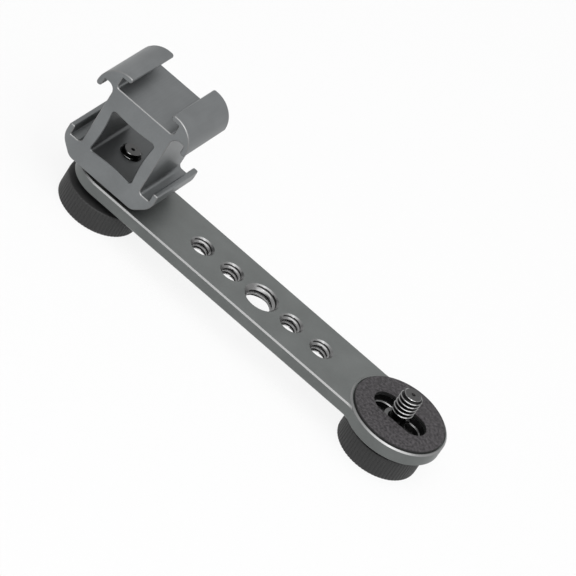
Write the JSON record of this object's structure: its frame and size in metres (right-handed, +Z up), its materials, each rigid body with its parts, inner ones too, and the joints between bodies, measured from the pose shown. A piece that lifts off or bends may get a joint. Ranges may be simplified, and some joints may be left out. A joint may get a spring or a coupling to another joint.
{
  "type": "shoe mount extension arm",
  "caption": "Flat metal arm with a swivelling three-way accessory shoe block at one end, a padded disc with a sliding camera screw at the other, and a row of tapped holes between.",
  "frame": {"origin": "under the middle of the whole arm, on the surface that its two knobs stand on", "axes": "+X along the arm from the shoe block to the camera screw, +Y across the arm, +Z up through the screws"},
  "size_m": [0.13, 0.0288, 0.0462],
  "materials": {
    "anodised_aluminium": "fine satin, titanium-grey anodised, with bright chamfered edges",
    "black_rubber": "matte, finely mottled",
    "moulded_plastic": "matte black, ribbed round the rim",
    "washer_nylon": "smooth black",
    "black_steel": "dark plated, glossy thread crests",
    "spring_steel": "bare spring steel"
  },
  "bodies": {
    "arm": {"extension_arm": "anodised_aluminium", "grip_pad": "black_rubber"},
    "shoe_block": {"shoe_block": "anodised_aluminium", "friction_ring": "black_rubber"},
    "shoe_washer": {"shoe_washer": "washer_nylon"},
    "shoe_knob": {"shoe_knob": "moulded_plastic", "shoe_screw": "black_steel"},
    "camera_washer": {"camera_washer": "washer_nylon"},
    "camera_knob": {"camera_knob": "moulded_plastic", "camera_screw": "black_steel", "camera_screw_clip": "spring_steel"}
  },
  "joints": [
    {"name": "shoe_swivel", "type": "hinge", "parent": "arm", "child": "shoe_block", "pos_m": [-0.0494, 0, 0.0136], "axis": [0, 0, 1], "continuous": true},
    {"name": "shoe_washer_drop", "type": "slide", "parent": "arm", "child": "shoe_washer", "axis": [0, 0, 1], "range_m": [-0.0077, 0]},
    {"name": "shoe_knob_turn", "type": "hinge", "parent": "shoe_washer", "child": "shoe_knob", "pos_m": [-0.0494, 0, 0.004], "axis": [0, 0, 1], "range_deg": [-2160, 0]},
    {"name": "camera_slide", "type": "slide", "parent": "arm", "child": "camera_washer", "axis": [1, 0, 0], "range_m": [-0.0042, 0.0042]},
    {"name": "camera_knob_turn", "type": "hinge", "parent": "camera_washer", "child": "camera_knob", "pos_m": [0.0506, 0, 0.004], "axis": [0, 0, 1], "continuous": true}
  ],
  "couplings": [
    {"joint": "shoe_washer_drop", "follows": "shoe_knob_turn", "m_per_rad": 0.00020213}
  ]
}
